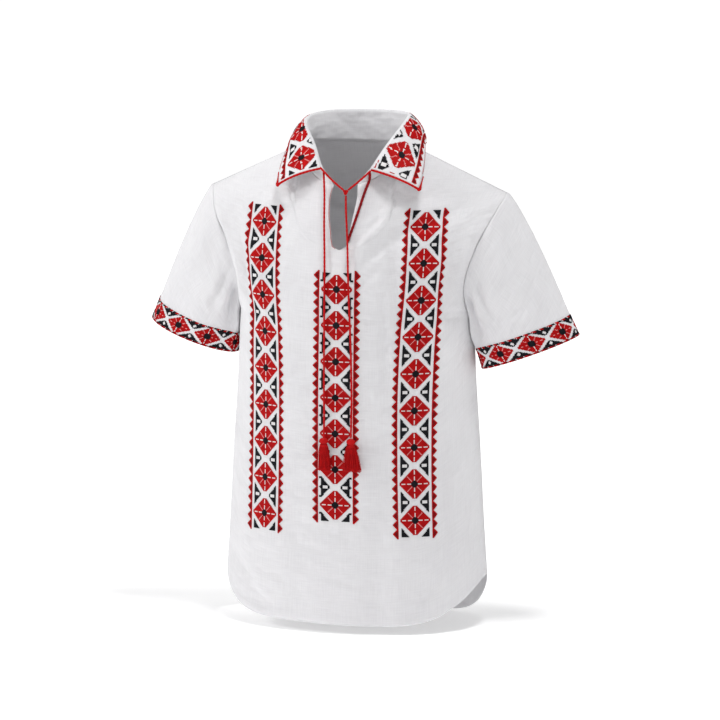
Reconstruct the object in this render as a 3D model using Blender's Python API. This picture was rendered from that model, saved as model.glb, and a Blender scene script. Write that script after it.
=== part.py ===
# Embroidered linen tunic shirt, filled out as worn, hollow.
# Metres, +Z up, the front faces -Y, the wearer's left is +X.
# The origin is the centre of the neck at the height of the neck points of the shoulder seams.

import math

import bpy
import numpy as np

# Driving dimensions
CLOTH = 0.0014
SEAM_GAP = 0.0005
SHOULDER_GAP = 0.0024
BAND_LIFT = 0.0012
BAND_THICK = 0.0008
ARMPIT_Z = -0.250
NECK_HALF = 0.075
SHOULDER_HALF = 0.224
SHOULDER_DROP = 0.069
SHOULDER_Y = 0.008
SHOULDER_Y_OUT = 0.006
NECK_FRONT_DEEP = 0.092
NECK_FRONT_DROP = 0.055
NECK_BACK_DEEP = 0.066
NECK_BACK_DROP = 0.006
VENT_Z = -0.638
HEM_FRONT = (-0.6975, -0.7015)
HEM_FRONT_POWER = (7.0, 5.0)
HEM_BACK = -0.712
HEM_BACK_POWER = 8.0
SLIT_BOTTOM = 0.48
BAND_HALF = 0.0355
SIDE_BAND_SPREAD = 0.87
SIDE_BAND_ENDS = (-0.087, -0.570)
CENTRE_BAND_ENDS = (-0.176, -0.548)
CUFF_BAND = 0.034
STAND_RISE = 0.0023
CORD_RADIUS = 0.0016
TRIM_RADIUS = 0.0017
PIPE_RADIUS = 0.0014

# Half width and depths of the torso: height, half width, front depth, back depth
TORSO = (
    (-0.720, 0.2000, 0.1230, 0.1080),
    (-0.650, 0.1985, 0.1235, 0.1075),
    (-0.560, 0.1930, 0.1240, 0.1065),
    (-0.450, 0.1870, 0.1240, 0.1060),
    (-0.350, 0.1805, 0.1225, 0.1080),
    (-0.250, 0.1760, 0.1170, 0.1120),
)
# Armhole from the armpit to the shoulder point: share, half width, front y, back y, height
ARMHOLE = (
    (0.00, 0.1760, 0.0000, 0.0000, -0.2500),
    (0.12, 0.1720, -0.0250, 0.0300, -0.2350),
    (0.28, 0.1712, -0.0380, 0.0520, -0.2080),
    (0.42, 0.1755, -0.0415, 0.0620, -0.1847),
    (0.60, 0.1865, -0.0400, 0.0640, -0.1528),
    (0.72, 0.1940, -0.0370, 0.0590, -0.1345),
    (0.85, 0.2070, -0.0310, 0.0470, -0.1095),
    (0.94, 0.2165, -0.0130, 0.0330, -0.0890),
    (1.00, 0.2240, 0.0140, 0.0140, -0.0690),
)
# Middle of a side band: height, x
SIDE_BAND = (
    (-0.575, 0.1155),
    (-0.450, 0.1130),
    (-0.350, 0.1130),
    (-0.270, 0.1160),
    (-0.200, 0.1210),
    (-0.098, 0.1220),
)
# Slit edges from its bottom to the neckline: share, wearer's right edge, wearer's left edge
SLIT = (
    (0.00, 0.0020, 0.0020),
    (0.10, -0.0070, 0.0120),
    (0.25, -0.0115, 0.0165),
    (0.50, -0.0155, 0.0205),
    (0.75, -0.0160, 0.0235),
    (1.00, -0.0130, 0.0225),
)
# Large soft folds: panel, x, height, lean in degrees, half length, half width, outward height
FOLDS = (
    ("front", 0.072, -0.290, 2, 0.080, 0.007, -0.0030),
    ("front", 0.169, -0.420, 0, 0.150, 0.009, -0.0034),
    ("front", 0.178, -0.330, 4, 0.080, 0.008, -0.0026),
    ("front", -0.164, -0.235, -6, 0.060, 0.009, -0.0034),
    ("front", -0.176, -0.420, 2, 0.110, 0.010, -0.0022),
    ("front", 0.052, -0.118, -48, 0.045, 0.009, 0.0030),
    ("front", 0.060, -0.146, -58, 0.050, 0.010, -0.0026),
    ("front", 0.120, -0.110, -62, 0.060, 0.012, -0.0024),
    ("front", -0.060, -0.600, 3, 0.120, 0.026, -0.0030),
    ("front", 0.064, -0.620, -3, 0.130, 0.024, -0.0030),
    ("front", -0.150, -0.640, 38, 0.050, 0.012, -0.0032),
    ("front", 0.150, -0.640, -40, 0.048, 0.012, -0.0030),
    ("back", 0.000, -0.330, 0, 0.230, 0.022, -0.0045),
    ("back", -0.090, -0.420, 4, 0.190, 0.018, -0.0040),
    ("back", 0.098, -0.390, -3, 0.170, 0.016, -0.0040),
    ("back", -0.145, -0.200, -14, 0.090, 0.012, -0.0040),
    ("back", 0.150, -0.215, 12, 0.080, 0.012, -0.0036),
    ("back", 0.045, -0.600, -4, 0.110, 0.022, -0.0032),
)
# Sleeve folds: turn from the outer edge in degrees, share of the length, two half widths, outward height
SLEEVE_FOLDS = (
    (62, 0.35, 16, 0.45, -0.0035),
    (118, 0.55, 13, 0.38, -0.0035),
    (30, 0.80, 15, 0.16, 0.0020),
    (250, 0.45, 15, 0.40, -0.0040),
    (305, 0.60, 14, 0.34, -0.0030),
)
# Cuff edge: side, outer end, inner end, each x, y, height
CUFFS = {
    1: ((0.3300, 0.026, -0.2785), (0.1880, 0.014, -0.3300)),
    -1: ((-0.3235, 0.026, -0.2735), (-0.1865, 0.014, -0.3200)),
}
CUFF_DEPTH = 0.050
CUFF_FRONT_DROP = 0.0030
SLEEVE_CAP = 0.0090
# Collar fold from the wearer's right front corner round the back: share, x, y, height
COLLAR_FOLD = (
    (0.00, -0.0340, -0.0760, -0.0300),
    (0.12, -0.0530, -0.0420, 0.0000),
    (0.24, -0.0765, -0.0060, 0.0320),
    (0.36, -0.0640, 0.0480, 0.0400),
    (0.50, 0.0000, 0.0800, 0.0410),
    (0.64, 0.0640, 0.0480, 0.0415),
    (0.76, 0.0765, -0.0060, 0.0365),
    (0.88, 0.0560, -0.0420, 0.0020),
    (1.00, 0.0410, -0.0740, -0.0300),
)
# Free edge of the collar: share, x, y, height, lift off the shirt already in it
COLLAR_EDGE = (
    (0.00, -0.0990, -0.0760, -0.0560),
    (0.12, -0.1040, -0.0420, -0.0310),
    (0.24, -0.1000, 0.0060, -0.0030),
    (0.36, -0.0820, 0.0700, -0.0060),
    (0.50, 0.0000, 0.1040, -0.0100),
    (0.64, 0.0820, 0.0700, -0.0060),
    (0.76, 0.1020, 0.0060, -0.0030),
    (0.88, 0.1120, -0.0420, -0.0310),
    (1.00, 0.1130, -0.0760, -0.0560),
)
# Tie strands over the front: x, height, lift off the shirt, below the places where they leave the collar
COLLAR_TIE_RIGHT = (-0.0285, -0.0790, -0.0355)
COLLAR_TIE_CROSS = (-0.0282, -0.0794, -0.0320)
COLLAR_TIE_LEFT = (0.0385, -0.0755, -0.0350)
KNOT = (0.0100, -0.1010, -0.0620)
KNOT_RADIUS = 0.0042
TIE_RIGHT = (
    (-0.0225, -0.070, 0.0070),
    (-0.0205, -0.110, 0.0052),
    (-0.0185, -0.170, 0.0044),
    (-0.0170, -0.250, 0.0043),
    (-0.0160, -0.340, 0.0043),
    (-0.0152, -0.395, 0.0050),
    (-0.0150, -0.4195, 0.0074),
)
TIE_LEFT = (0.0385, -0.0755, -0.0350)
KNOT = (0.0100, -0.1010, -0.0620)
KNOT_RADIUS = 0.0042
TIE_RIGHT = (
    (-0.0280, -0.070, 0.0070),
    (-0.0260, -0.110, 0.0052),
    (-0.0230, -0.170, 0.0044),
    (-0.0200, -0.250, 0.0043),
    (-0.0180, -0.340, 0.0043),
    (-0.0170, -0.395, 0.0050),
    (-0.0170, -0.4195, 0.0074),
)
TIE_LEFT = (
    (0.0110, -0.095, 0.0075),
    (0.0150, -0.135, 0.0056),
    (0.0185, -0.200, 0.0044),
    (0.0230, -0.290, 0.0043),
    (0.0250, -0.360, 0.0043),
    (0.0248, -0.395, 0.0050),
    (0.0248, -0.4195, 0.0074),
)
TRIM_ROUTE = ((0.0375, -0.046), (0.0330, -0.066), (0.0275, -0.090), (0.0205, -0.115), (0.0140, -0.136))
# Tassels: head half width, length, flare at the ends, lean to the side
TASSEL_HALF = 0.0072
TASSEL_DEPTH = 0.0048
TASSEL_LENGTH = 0.050
TASSEL_HEAD = 0.011
TASSEL_LIFT = 0.0074
TASSEL_CELLS = 4
TASSELS = {
    "tassel_right": (-0.0150, -0.4200, 1.35, 0.0010),
    "tassel_left": (0.0248, -0.4200, 1.95, 0.0020),
}
# Colour, roughness
LINEN = ((0.86, 0.86, 0.87), 0.85)
RED = ((0.42, 0.008, 0.014), 0.70)
EMBROIDERY = ((0.38, 0.012, 0.016), 0.75)


def clear_scene():
    for obj in list(bpy.data.objects):
        bpy.data.objects.remove(obj, do_unlink=True)


def smooth_table(rows, at):
    """Smooth curve through a table whose first column is the share."""
    rows = np.asarray(rows, float)
    knots, values = rows[:, 0], rows[:, 1:]
    slopes = np.gradient(values, knots, axis=0)
    at = min(max(at, knots[0]), knots[-1])
    i = min(int(np.searchsorted(knots, at, side="right")) - 1, len(knots) - 2)
    step = knots[i + 1] - knots[i]
    t = (at - knots[i]) / step
    blend = ((1 + 2 * t) * (1 - t) ** 2, t * (1 - t) ** 2, t * t * (3 - 2 * t), t * t * (t - 1))
    return (
        blend[0] * values[i]
        + blend[1] * step * slopes[i]
        + blend[2] * values[i + 1]
        + blend[3] * step * slopes[i + 1]
    )


def fold_height(panel, x, z):
    total = 0.0
    for where, fx, fz, lean, length, width, height in FOLDS:
        if where != panel:
            continue
        c, s = math.cos(math.radians(lean)), math.sin(math.radians(lean))
        along = (z - fz) * c - (x - fx) * s
        across = (x - fx) * c + (z - fz) * s
        total += height * math.exp(-((along / length) ** 2) - (across / width) ** 2)
    return total


def hem_height(side, share):
    """Height of the hem where share is x over the half width."""
    if side > 0:
        low, power = HEM_BACK, HEM_BACK_POWER
    else:
        turn = 0.5 + 0.5 * math.sin(math.pi / 2 * share)
        low = HEM_FRONT[0] + (HEM_FRONT[1] - HEM_FRONT[0]) * turn
        power = HEM_FRONT_POWER[0] + (HEM_FRONT_POWER[1] - HEM_FRONT_POWER[0]) * turn
    return low + (VENT_Z - low) * abs(share) ** power


def neck_or_shoulder(side, x):
    """Top edge of a panel at x: depth and height."""
    if abs(x) >= NECK_HALF:
        share = (abs(x) - NECK_HALF) / (SHOULDER_HALF - NECK_HALF)
        return SHOULDER_Y + SHOULDER_Y_OUT * share, -SHOULDER_DROP * share
    round_in = math.sqrt(1 - (x / NECK_HALF) ** 2)
    if side < 0:
        return SHOULDER_Y - NECK_FRONT_DEEP * round_in, -NECK_FRONT_DROP * round_in
    return SHOULDER_Y + NECK_BACK_DEEP * round_in, -NECK_BACK_DROP * round_in


def arch(side, x, w):
    """Chest to top edge at x, before the armhole edge is matched."""
    chest = smooth_table(TORSO, ARMPIT_Z)
    depth = chest[1] if side < 0 else chest[2]
    start_x = min(abs(x) * chest[0] / armhole(w)[0], chest[0])
    y0 = side * depth * math.sqrt(max(0.0, 1 - (start_x / chest[0]) ** 2))
    y1, z1 = neck_or_shoulder(side, x)
    reach = min(abs(x) / NECK_HALF, 1.0)
    most = math.radians(50 + 36 * reach**3) if side < 0 else math.radians(68 + 18 * reach**3)
    turn = w * most
    y = y0 + (y1 - y0) * (1 - math.cos(turn)) / (1 - math.cos(most))
    z = ARMPIT_Z + (z1 - ARMPIT_Z) * math.sin(turn) / math.sin(most)
    return y, z


def armhole(w):
    """Half width, front y, back y, height of the armhole edge."""
    return smooth_table(ARMHOLE, w)


def panel_point(side, share, w, slit=0):
    """Point of a panel. share is x over the half width, w is -1 at the hem, 0 at the armpit, 1 on top."""
    name = "back" if side > 0 else "front"
    if w <= 0:
        half_share = share
        low = hem_height(side, half_share)
        z = ARMPIT_Z + (low - ARMPIT_Z) * -w
        half, front, back = smooth_table(TORSO, z)
        depth = front if side < 0 else back
        around = math.sqrt(max(0.0, 1 - half_share**2))
        x, y = half * half_share, side * depth * around
        normal = np.array((x / half**2, y / depth**2, 0.0))
    else:
        edge = armhole(w)
        x = edge[0] * share
        if slit:
            open_share = (w - SLIT_BOTTOM) / (1 - SLIT_BOTTOM)
            mouth = smooth_table(SLIT, open_share)[0 if slit < 0 else 1]
            x = mouth + (slit * edge[0] - mouth) * abs(share)
        y, z = arch(side, x, w)
        y_edge, z_edge = arch(side, edge[0], w)
        pull = min(abs(x) / edge[0], 1.0) ** 5
        y += pull * ((edge[1] if side < 0 else edge[2]) - y_edge)
        z += pull * (edge[3] - z_edge)
        normal = np.array((x / 0.18**2, y / 0.12**2, 1.2 * w / 0.12))
    normal /= max(np.linalg.norm(normal), 1e-9)
    fade = (1 - min(abs(share), 1.0) ** 12) * (1 - max(w, 0) ** 6)
    return np.array((x, y, z)) + normal * fold_height(name, x, z) * fade


def front_at(x, z):
    """Share and w of the front panel's point at x and height z."""
    low, high = -1.0, 1.0
    for _ in range(40):
        w = (low + high) / 2
        share = x / (armhole(w)[0] if w > 0 else smooth_table(TORSO, max(z, -0.72))[0])
        if panel_point(-1, share, w)[2] < z:
            low = w
        else:
            high = w
    return share, w


def outward(point_of, a, b, step=0.004):
    """Unit normal of a surface given by a function of two shares."""
    da = point_of(a + step, b) - point_of(a - step, b)
    db = point_of(a, b + step) - point_of(a, b - step)
    normal = np.cross(da, db)
    return normal / np.linalg.norm(normal)


def on_front(x, z, lift):
    """Point over the front panel at x and height z, lift metres off it."""
    share, w = front_at(x, z)

    def point_of(a, b):
        return panel_point(-1, a, b)

    return point_of(share, w) + outward(point_of, share, w) * lift


def material_of(name, finish):
    material = bpy.data.materials.new(name)
    material.use_nodes = True
    shader = material.node_tree.nodes["Principled BSDF"]
    shader.inputs["Base Color"].default_value = (*finish[0], 1.0)
    shader.inputs["Roughness"].default_value = finish[1]
    shader.inputs["Metallic"].default_value = 0.0
    return material


def add_mesh(name, points, faces, finish):
    mesh = bpy.data.meshes.new(name)
    mesh.from_pydata([tuple(p) for p in points], [], faces)
    mesh.update()
    mesh.shade_smooth()
    mesh.materials.append(material_of(name, finish))
    obj = bpy.data.objects.new(name, mesh)
    bpy.context.scene.collection.objects.link(obj)
    return obj


def thicken(obj, thickness, offset):
    solid = obj.modifiers.new("Thickness", "SOLIDIFY")
    solid.thickness = thickness
    solid.offset = offset
    solid.use_rim = True
    solid.use_even_offset = False


def grid_faces(rows, columns, wrap=False, flip=False):
    faces = []
    for r in range(rows - 1):
        for c in range(columns if wrap else columns - 1):
            d = (c + 1) % columns
            quad = (r * columns + c, r * columns + d, (r + 1) * columns + d, (r + 1) * columns + c)
            faces.append(quad[::-1] if flip else quad)
    return faces


def add_sheet(name, grid, finish, thickness=CLOTH, offset=-1.0, wrap=False, flip=False):
    rows, columns = len(grid), len(grid[0])
    points = [p for row in grid for p in row]
    obj = add_mesh(name, points, grid_faces(rows, columns, wrap, flip), finish)
    thicken(obj, thickness, offset)
    return obj


def column_shares(count):
    return [math.sin(math.pi / 2 * (2 * i / count - 1)) for i in range(count + 1)]


def seam_shift(point, side, share, w):
    """Keeps the panels apart at the side and shoulder seams."""
    if abs(share) > 0.999 and w <= 0:
        point = point + np.array((0.0, side * SEAM_GAP / 2, 0.0))
    if w > 0.999:
        point = point + np.array((0.0, side * SHOULDER_GAP / 2, 0.0))
    if abs(share) > 0.999 and w > 0:
        point = point - np.array((math.copysign(SEAM_GAP, share), 0.0, 0.0))
    return point


def make_front():
    """The front panel, whose rows part at the neck slit."""
    columns, lower, below, above = 28, 15, 5, 9
    shares = column_shares(columns)
    middle = columns // 2
    heights = [-1 + i / lower for i in range(lower)]
    heights += [SLIT_BOTTOM * i / below for i in range(below)]
    top = [SLIT_BOTTOM + (1 - SLIT_BOTTOM) * (i / above) for i in range(above + 1)]
    points, index = [], {}
    for r, w in enumerate(heights + top):
        parted = w > SLIT_BOTTOM + 1e-6
        for c, share in enumerate(shares):
            for half in (-1, 1) if parted and c == middle else (0,):
                slit = half or (math.copysign(1, share) if parted else 0)
                point = panel_point(-1, share, w, slit)
                index[r, c, half] = len(points)
                points.append(seam_shift(point, -1, share, w))
    faces = []
    for r in range(len(heights + top) - 1):
        for c in range(columns):
            half = -1 if c < middle else 1
            quad = [
                index.get((i, j, half), index.get((i, j, 0)))
                for i, j in ((r, c), (r, c + 1), (r + 1, c + 1), (r + 1, c))
            ]
            faces.append(quad)
    obj = add_mesh("front", points, faces, LINEN)
    thicken(obj, CLOTH, -1.0)


def make_back():
    columns, lower, upper = 24, 14, 11
    heights = [-1 + i / lower for i in range(lower)] + [i / upper for i in range(upper + 1)]
    grid = [
        [seam_shift(panel_point(1, share, w), 1, share, w) for share in column_shares(columns)]
        for w in heights
    ]
    add_sheet("back", grid, LINEN, flip=True)


def armhole_loop(side, turn):
    """Armhole edge; turn is 0 at the shoulder point, a half at the armpit, and the front comes first."""
    w = 1 - 2 * turn if turn <= 0.5 else 2 * turn - 1
    half, front, back, z = armhole(w)
    return np.array((side * half, front if turn <= 0.5 else back, z))


def cuff_loop(side, turn):
    outer, inner = (np.array(p) for p in CUFFS[side])
    centre, reach = (outer + inner) / 2, (outer - inner) / 2
    angle = 2 * math.pi * turn
    drop = np.array((0.0, -CUFF_DEPTH, -CUFF_FRONT_DROP))
    return centre + reach * math.cos(angle) + drop * math.sin(angle)


def sleeve_point(side, turn, along):
    start, end = armhole_loop(side, turn), cuff_loop(side, turn)
    point = start + (end - start) * along
    centre = np.array((side * 0.198, 0.012, -0.155)) * (1 - along)
    centre = centre + (np.array(CUFFS[side][0]) + np.array(CUFFS[side][1])) / 2 * along
    away = point - centre
    away /= np.linalg.norm(away)
    cap = SLEEVE_CAP * math.sin(math.pi * along**0.55) * max(0.0, math.cos(2 * math.pi * turn)) ** 1.5
    swell = 0.006 * math.sin(math.pi * along) * (1 - math.cos(4 * math.pi * turn)) / 2
    fold = 0.0
    for degrees, share, width, length, height in SLEEVE_FOLDS:
        apart = (degrees / 360 - turn + 0.5) % 1 - 0.5
        fold += height * math.exp(-((apart * 360 / width) ** 2) - ((along - share) / length) ** 2)
    fold *= math.sin(math.pi * min(along * 1.6, 1.0) * 0.5) * (1 - along**6)
    return point + away * (cap + swell + fold)


def make_sleeve(side):
    columns, rows = 24, 9
    name = "sleeve_left" if side > 0 else "sleeve_right"
    grid = []
    for r in range(rows + 1):
        along = max(r / rows, 0.004)
        grid.append([sleeve_point(side, c / columns, along) for c in range(columns)])
    add_sheet(name, grid, LINEN, wrap=True, flip=side < 0)


def cuff_share(side, turn, up):
    """Share of the sleeve's length at up metres above the cuff edge."""
    last = sleeve_point(side, turn, 0.8) - sleeve_point(side, turn, 1.0)
    return 1 - 0.2 * up / np.linalg.norm(last)


def make_cuff_band(side):
    columns, rows = 24, 2
    name = "cuff_band_left" if side > 0 else "cuff_band_right"

    def point_of(a, b):
        return sleeve_point(side, a, b)

    grid = []
    for r in range(rows + 1):
        row = []
        for c in range(columns):
            turn = c / columns
            along = cuff_share(side, turn, CUFF_BAND * (1 - r / rows))
            normal = outward(point_of, turn, min(along, 0.99)) * side
            row.append(point_of(turn, along) + normal * BAND_LIFT)
        grid.append(row)
    add_sheet(name, grid, EMBROIDERY, BAND_THICK, 1.0, wrap=True, flip=side < 0)


def make_front_band(name, side, top, bottom, rows):
    """Embroidered strip from its bottom height to its top; side is 0 on the middle one."""
    grid = []
    half = BAND_HALF * (SIDE_BAND_SPREAD if side else 1.0)
    for r in range(rows + 1):
        z = bottom + (top - bottom) * r / rows
        x = side * smooth_table(SIDE_BAND, z)[0]
        offsets = [half * (i / 2 - 1) for i in range(5)]
        grid.append([on_front(x + offset, z, BAND_LIFT) for offset in offsets])
    add_sheet(name, grid, EMBROIDERY, BAND_THICK, 1.0)


def neck_seam(turn):
    """Neckline from the wearer's right front corner round the back; turn runs 0 to 1."""
    left, right = SLIT[-1][1], SLIT[-1][2]
    start = math.asin(-left / NECK_HALF)
    end = math.asin(right / NECK_HALF)
    angle = -math.pi / 2 - start + (-2 * math.pi + start + end) * turn
    x = NECK_HALF * math.cos(angle)
    round_in = abs(math.sin(angle))
    if math.sin(angle) < 0:
        return np.array((x, SHOULDER_Y - NECK_FRONT_DEEP * round_in, -NECK_FRONT_DROP * round_in))
    return np.array((x, SHOULDER_Y + NECK_BACK_DEEP * round_in, -NECK_BACK_DROP * round_in))


def collar_fold(turn):
    return smooth_table(COLLAR_FOLD, turn)


def make_collar_stand():
    columns, rows = 26, 3
    grid = []
    for r in range(rows + 1):
        up = r / rows
        row = []
        for c in range(columns + 1):
            turn = c / columns
            low = neck_seam(turn) + np.array((0.0, 0.0, STAND_RISE))
            high = collar_fold(turn) * np.array((0.97, 0.97, 1.0)) - np.array((0.0, 0.0, 0.0025))
            point = low + (high - low) * up
            row.append(point * np.array((1 - 0.03 * math.sin(math.pi * up), 1.0, 1.0)))
        grid.append(row)
    add_sheet("collar_stand", grid, LINEN, flip=True)


def collar_point(turn, down):
    """Turned-down leaf; down is 0 at the fold and 1 at the free edge."""
    fold, edge = collar_fold(turn), smooth_table(COLLAR_EDGE, turn)
    point = fold + (edge - fold) * down
    bulge = 0.006 * math.sin(math.pi * min(down, 1.0)) ** 0.8
    away = np.array((point[0], point[1], 0.05))
    return point + away / np.linalg.norm(away) * bulge


def make_collar():
    columns, rows = 30, 4
    grid = [
        [collar_point(c / columns, r / rows) for c in range(columns + 1)] for r in range(rows + 1)
    ]
    add_sheet("collar", grid, LINEN, 0.0018)


def smooth_route(points, count):
    rows = [(i / (len(points) - 1), *p) for i, p in enumerate(points)]
    return [smooth_table(rows, i / (count - 1)) for i in range(count)]


def add_cord(name, points, radius, finish=RED):
    curve = bpy.data.curves.new(name, "CURVE")
    curve.dimensions = "3D"
    curve.bevel_depth = radius
    curve.bevel_resolution = 2
    curve.use_fill_caps = True
    spline = curve.splines.new("POLY")
    spline.points.add(len(points) - 1)
    for knot, point in zip(spline.points, points):
        knot.co = (*point, 1.0)
    curve.materials.append(material_of(name, finish))
    obj = bpy.data.objects.new(name, curve)
    bpy.context.scene.collection.objects.link(obj)


def front_route(rows):
    return [on_front(x, z, lift) for x, z, lift in rows]


def make_piping(name, turn_sign):
    """Red cord round one collar point: along the front edge, then a little way up the free edge."""
    start = 0.0 if turn_sign > 0 else 1.0
    off = PIPE_RADIUS + 0.0011
    step = 0.004
    route = []
    for i in range(15):
        down = 0.05 + 0.93 * i / 14
        point = collar_point(start, down)
        beyond = point - collar_point(start + turn_sign * step * 4, down)
        route.append(point + beyond / np.linalg.norm(beyond) * off)
    tip = collar_point(start, 1.0)
    beyond = tip - collar_point(start + turn_sign * 0.05, 0.8)
    route.append(tip + beyond / np.linalg.norm(beyond) * off * 1.25)
    for i in range(5):
        turn = start + turn_sign * (0.008 + 0.018 * i)
        point = collar_point(turn, 1.0)
        beyond = point - collar_point(turn, 0.95)
        route.append(point + beyond / np.linalg.norm(beyond) * off)
    add_cord(name, route, PIPE_RADIUS)


def make_slit_trim():
    route = [on_front(x, z, TRIM_RADIUS + 0.0006) for x, z in TRIM_ROUTE]
    add_cord("slit_trim", smooth_route(route, 22), TRIM_RADIUS)


def toward(start, end, short):
    """End point pulled back short metres towards the start."""
    start, end = np.array(start), np.array(end)
    way = end - start
    return end - way / np.linalg.norm(way) * short


def make_ties():
    clear = KNOT_RADIUS + 0.0006
    right = [np.array(COLLAR_TIE_RIGHT)] + front_route(TIE_RIGHT)
    add_cord("tie_right", smooth_route(right, 44), CORD_RADIUS)
    low = np.array(KNOT) + np.array((0.0004, 0.0, -clear))
    left = [low] + front_route(TIE_LEFT)
    add_cord("tie_left", smooth_route(left, 42), CORD_RADIUS)
    for name, start, sag in (
        ("tie_cross_right", COLLAR_TIE_CROSS, 0.0012),
        ("tie_cross_left", COLLAR_TIE_LEFT, 0.0010),
    ):
        end = toward(start, KNOT, clear)
        middle = (np.array(start) + end) / 2 - np.array((0.0, 0.0015, sag))
        add_cord(name, smooth_route([start, middle, end], 8), CORD_RADIUS)


def make_knot():
    rings, around = 6, 10
    points = [np.array(KNOT) + np.array((0.0, 0.0, KNOT_RADIUS))]
    for r in range(1, rings):
        tilt = math.pi * r / rings
        for c in range(around):
            turn = 2 * math.pi * c / around
            flat = KNOT_RADIUS * math.sin(tilt)
            step = (flat * math.cos(turn), 0.8 * flat * math.sin(turn), KNOT_RADIUS * math.cos(tilt))
            points.append(np.array(KNOT) + np.array(step))
    points.append(np.array(KNOT) - np.array((0.0, 0.0, KNOT_RADIUS)))
    last = len(points) - 1
    faces = []
    for c in range(around):
        d = (c + 1) % around
        faces.append((0, 1 + c, 1 + d))
        faces.append((last, last - around + d, last - around + c))
        for r in range(rings - 2):
            a = 1 + r * around
            faces.append((a + c, a + around + c, a + around + d, a + d))
    add_mesh("tie_knot", points, faces, RED)


def disc(u, v):
    """Maps a square of -1 to 1 onto a round."""
    return u * math.sqrt(1 - v * v / 2), v * math.sqrt(1 - u * u / 2)


def make_tassel(name, x, top, flare, lean):
    """Head over a grid of cells; each cell grows one four-sided strand."""
    n = TASSEL_CELLS
    crown = on_front(x, top, TASSEL_LIFT)
    points, faces = [], []

    def add(u, v, down, spread=1.0):
        a, b = disc(u, v)
        swing = lean * down / TASSEL_LENGTH
        step = (a * TASSEL_HALF * spread + swing, b * TASSEL_DEPTH * min(spread, 1.0), -down)
        points.append(crown + np.array(step))
        return len(points) - 1

    def cell(i):
        return 2 * i / n - 1

    plate = [[add(cell(i), cell(j), TASSEL_HEAD) for i in range(n + 1)] for j in range(n + 1)]
    for j in range(n):
        for i in range(n):
            root = (plate[j][i], plate[j][i + 1], plate[j + 1][i + 1], plate[j + 1][i])
            u, v, half = cell(i + 0.5), cell(j + 0.5), 0.76 / n
            ends = TASSEL_LENGTH * (1 - 0.05 * ((3 * i + 5 * j) % 4) / 3)
            for down, spread in ((TASSEL_HEAD + 0.004, 1.0), ((ends + TASSEL_HEAD) / 2, (1 + flare) / 2), (ends, flare)):
                ring = tuple(
                    add(u + a * half, v + b * half, down, spread)
                    for a, b in ((-1, -1), (1, -1), (1, 1), (-1, 1))
                )
                for k in range(4):
                    m = (k + 1) % 4
                    faces.append((root[m], root[k], ring[k], ring[m]))
                root = ring
            faces.append(root[::-1])
    border = [plate[0][i] for i in range(n)] + [plate[j][n] for j in range(n)]
    border += [plate[n][i] for i in range(n, 0, -1)] + [plate[j][0] for j in range(n, 0, -1)]
    spots = [(cell(i), -1) for i in range(n)] + [(1, cell(j)) for j in range(n)]
    spots += [(cell(i), 1) for i in range(n, 0, -1)] + [(-1, cell(j)) for j in range(n, 0, -1)]
    for down, spread in ((0.0085, 0.78), (0.0060, 0.95), (0.0025, 0.85), (0.0, 0.35)):
        ring = [add(u * spread, v * spread, down) for u, v in spots]
        for k in range(4 * n):
            m = (k + 1) % (4 * n)
            faces.append((border[k], border[m], ring[m], ring[k]))
        border = ring
    faces.append(tuple(border))
    add_mesh(name, points, faces, RED)


def main():
    clear_scene()
    make_front()
    make_back()
    for side in (1, -1):
        make_sleeve(side)
        make_cuff_band(side)
    make_front_band("band_right", -1, *SIDE_BAND_ENDS, 26)
    make_front_band("band_centre", 0, *CENTRE_BAND_ENDS, 22)
    make_front_band("band_left", 1, *SIDE_BAND_ENDS, 26)
    make_collar_stand()
    make_collar()
    make_piping("piping_right", 1)
    make_piping("piping_left", -1)
    make_slit_trim()
    make_ties()
    make_knot()
    for name, (x, top, flare, lean) in TASSELS.items():
        make_tassel(name, x, top, flare, lean)


main()
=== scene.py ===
import math
from functools import partial

import bpy
import numpy as np
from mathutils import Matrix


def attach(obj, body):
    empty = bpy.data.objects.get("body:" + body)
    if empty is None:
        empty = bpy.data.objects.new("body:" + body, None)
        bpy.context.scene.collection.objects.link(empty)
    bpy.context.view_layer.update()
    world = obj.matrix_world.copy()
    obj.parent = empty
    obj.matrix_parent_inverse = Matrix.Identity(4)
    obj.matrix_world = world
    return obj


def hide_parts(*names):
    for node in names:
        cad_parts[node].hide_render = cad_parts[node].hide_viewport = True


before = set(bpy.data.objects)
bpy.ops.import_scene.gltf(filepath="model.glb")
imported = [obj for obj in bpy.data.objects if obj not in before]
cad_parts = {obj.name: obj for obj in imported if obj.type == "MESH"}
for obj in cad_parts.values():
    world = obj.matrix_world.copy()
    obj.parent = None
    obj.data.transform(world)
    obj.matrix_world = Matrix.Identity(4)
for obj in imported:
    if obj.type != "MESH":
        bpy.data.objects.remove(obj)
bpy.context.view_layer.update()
print("frame loaded")

# Camera: the photograph's angle, 7 m away with a long lens
cameraView = {
    "azimuth": 15.0, "elevation": 9.0, "distance": 7.0, "lens": 238.0,
    "acrossFromNeck": 0.0044, "upFromNeck": -0.3206,
}


def makeCamera(view):
    turn, tilt = math.radians(view["azimuth"]), math.radians(view["elevation"])
    towards = np.array((math.sin(turn) * math.cos(tilt), -math.cos(turn) * math.cos(tilt), math.sin(tilt)))
    right = np.array((math.cos(turn), math.sin(turn), 0.0))
    up = np.cross(towards, right)
    target = right * view["acrossFromNeck"] + up * view["upFromNeck"]
    data = bpy.data.cameras.new("camera")
    data.lens = view["lens"]
    data.sensor_width = 36.0
    data.sensor_fit = "HORIZONTAL"
    data.clip_end = 50.0
    camera = bpy.data.objects.new("camera", data)
    camera.location = target + towards * view["distance"]
    camera.rotation_euler = (math.pi / 2 - tilt, 0.0, turn)
    bpy.context.scene.collection.objects.link(camera)
    bpy.context.scene.camera = camera


makeCamera(cameraView)

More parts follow.
